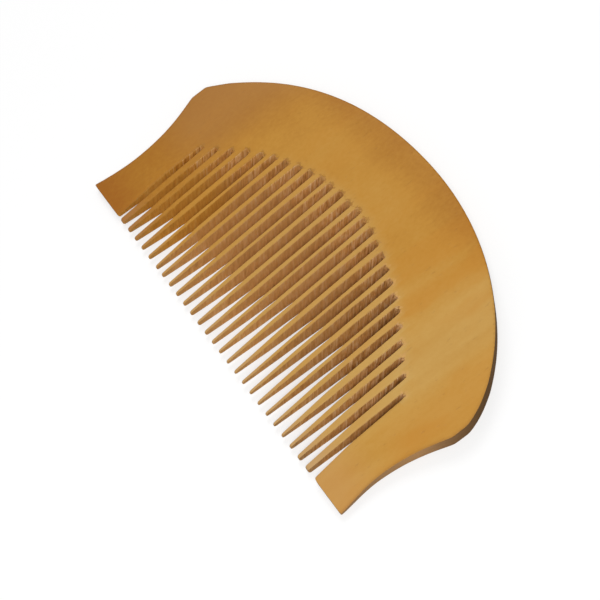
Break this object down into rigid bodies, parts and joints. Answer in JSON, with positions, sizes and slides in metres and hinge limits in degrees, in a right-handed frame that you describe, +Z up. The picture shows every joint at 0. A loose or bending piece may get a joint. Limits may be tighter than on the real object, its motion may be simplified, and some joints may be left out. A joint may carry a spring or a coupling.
{
  "type": "wide tooth comb",
  "caption": "Wooden half-moon comb: a domed back that thins into a row of wide, straight, round-tipped teeth between two broad end guards, for detangling hair.",
  "frame": {"origin": "middle of the comb's length and height, on the lower face that it lies on", "axes": "+X along the comb from the left guard to the right guard, +Y from the tooth tips to the crown, +Z up through the thickness"},
  "size_m": [0.12, 0.0686, 0.0093],
  "materials": {
    "back_wood": "golden fruitwood, sanded smooth and waxed to a satin sheen",
    "guard_wood": "the same golden fruitwood, with end grain on the square-cut feet",
    "tooth_wood": "the same golden fruitwood, smooth on the faces and rough from the saw in the cuts"
  },
  "bodies": {
    "root": {"comb_back": "back_wood", "guard_left": "guard_wood", "guard_right": "guard_wood", "tooth_01": "tooth_wood", "tooth_02": "tooth_wood", "tooth_03": "tooth_wood", "tooth_04": "tooth_wood", "tooth_05": "tooth_wood", "tooth_06": "tooth_wood", "tooth_07": "tooth_wood", "tooth_08": "tooth_wood", "tooth_09": "tooth_wood", "tooth_10": "tooth_wood", "tooth_11": "tooth_wood", "tooth_12": "tooth_wood", "tooth_13": "tooth_wood", "tooth_14": "tooth_wood", "tooth_15": "tooth_wood", "tooth_16": "tooth_wood", "tooth_17": "tooth_wood", "tooth_18": "tooth_wood", "tooth_19": "tooth_wood", "tooth_20": "tooth_wood", "tooth_21": "tooth_wood", "tooth_22": "tooth_wood", "tooth_23": "tooth_wood", "tooth_24": "tooth_wood", "tooth_25": "tooth_wood", "tooth_26": "tooth_wood"}
  },
  "joints": []
}
